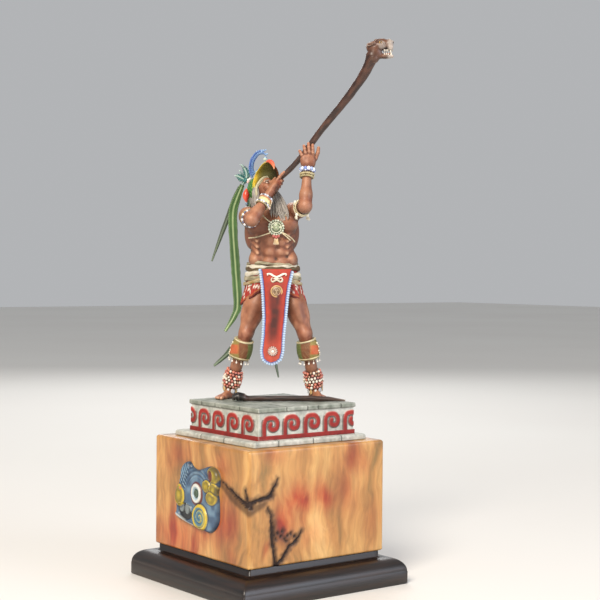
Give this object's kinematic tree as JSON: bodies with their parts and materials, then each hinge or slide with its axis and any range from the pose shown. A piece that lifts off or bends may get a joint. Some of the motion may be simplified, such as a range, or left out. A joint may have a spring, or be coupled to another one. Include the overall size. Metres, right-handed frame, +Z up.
{
  "type": "maya warrior figurine",
  "caption": "Painted figurine of a warrior in a bird-headed hood blowing a long cat-headed trumpet, on a fretted stone platform, a burl wood block and a moulded dark foot.",
  "frame": {"origin": "middle of the square wooden foot's underside", "axes": "+Z up through the block; the block's faces lie along X and Y, with the glyph badge on the -X face; the figure faces between -X and -Y and its trumpet points towards -Y"},
  "size_m": [0.067, 0.067, 0.1803],
  "materials": {
    "dark_wood": "stained near black, satin",
    "burl_wood": "polished burl with bark cracks",
    "painted_stone": "cast resin painted as weathered stone with a red fret",
    "badge_paint": "painted relief, satin",
    "skin_paint": "hand-painted resin, matt",
    "cloth_paint": "hand-painted resin, matt",
    "trumpet_paint": "hand-painted resin, satin",
    "club_paint": "hand-painted resin, satin",
    "blue_feather_paint": "hand-painted resin, matt",
    "teal_feather_paint": "hand-painted resin, matt",
    "coral_paint": "hand-painted resin, satin",
    "green_feather_paint": "hand-painted resin, matt",
    "hair_paint": "hand-painted resin, matt",
    "pale_bead_paint": "hand-painted resin, satin",
    "ochre_paint": "hand-painted resin, satin"
  },
  "bodies": {
    "root": {"wooden_foot": "dark_wood", "burl_block": "burl_wood", "stone_platform": "painted_stone", "glyph_badge": "badge_paint", "warrior": "skin_paint", "apron": "cloth_paint", "trumpet": "trumpet_paint", "war_club": "club_paint", "blue_crest": "blue_feather_paint", "leaf_plumes": "teal_feather_paint", "ear_pendant": "coral_paint", "plume_outer": "green_feather_paint", "plume_broad": "green_feather_paint", "plume_low": "green_feather_paint", "plume_centre": "green_feather_paint"}
  },
  "joints": []
}
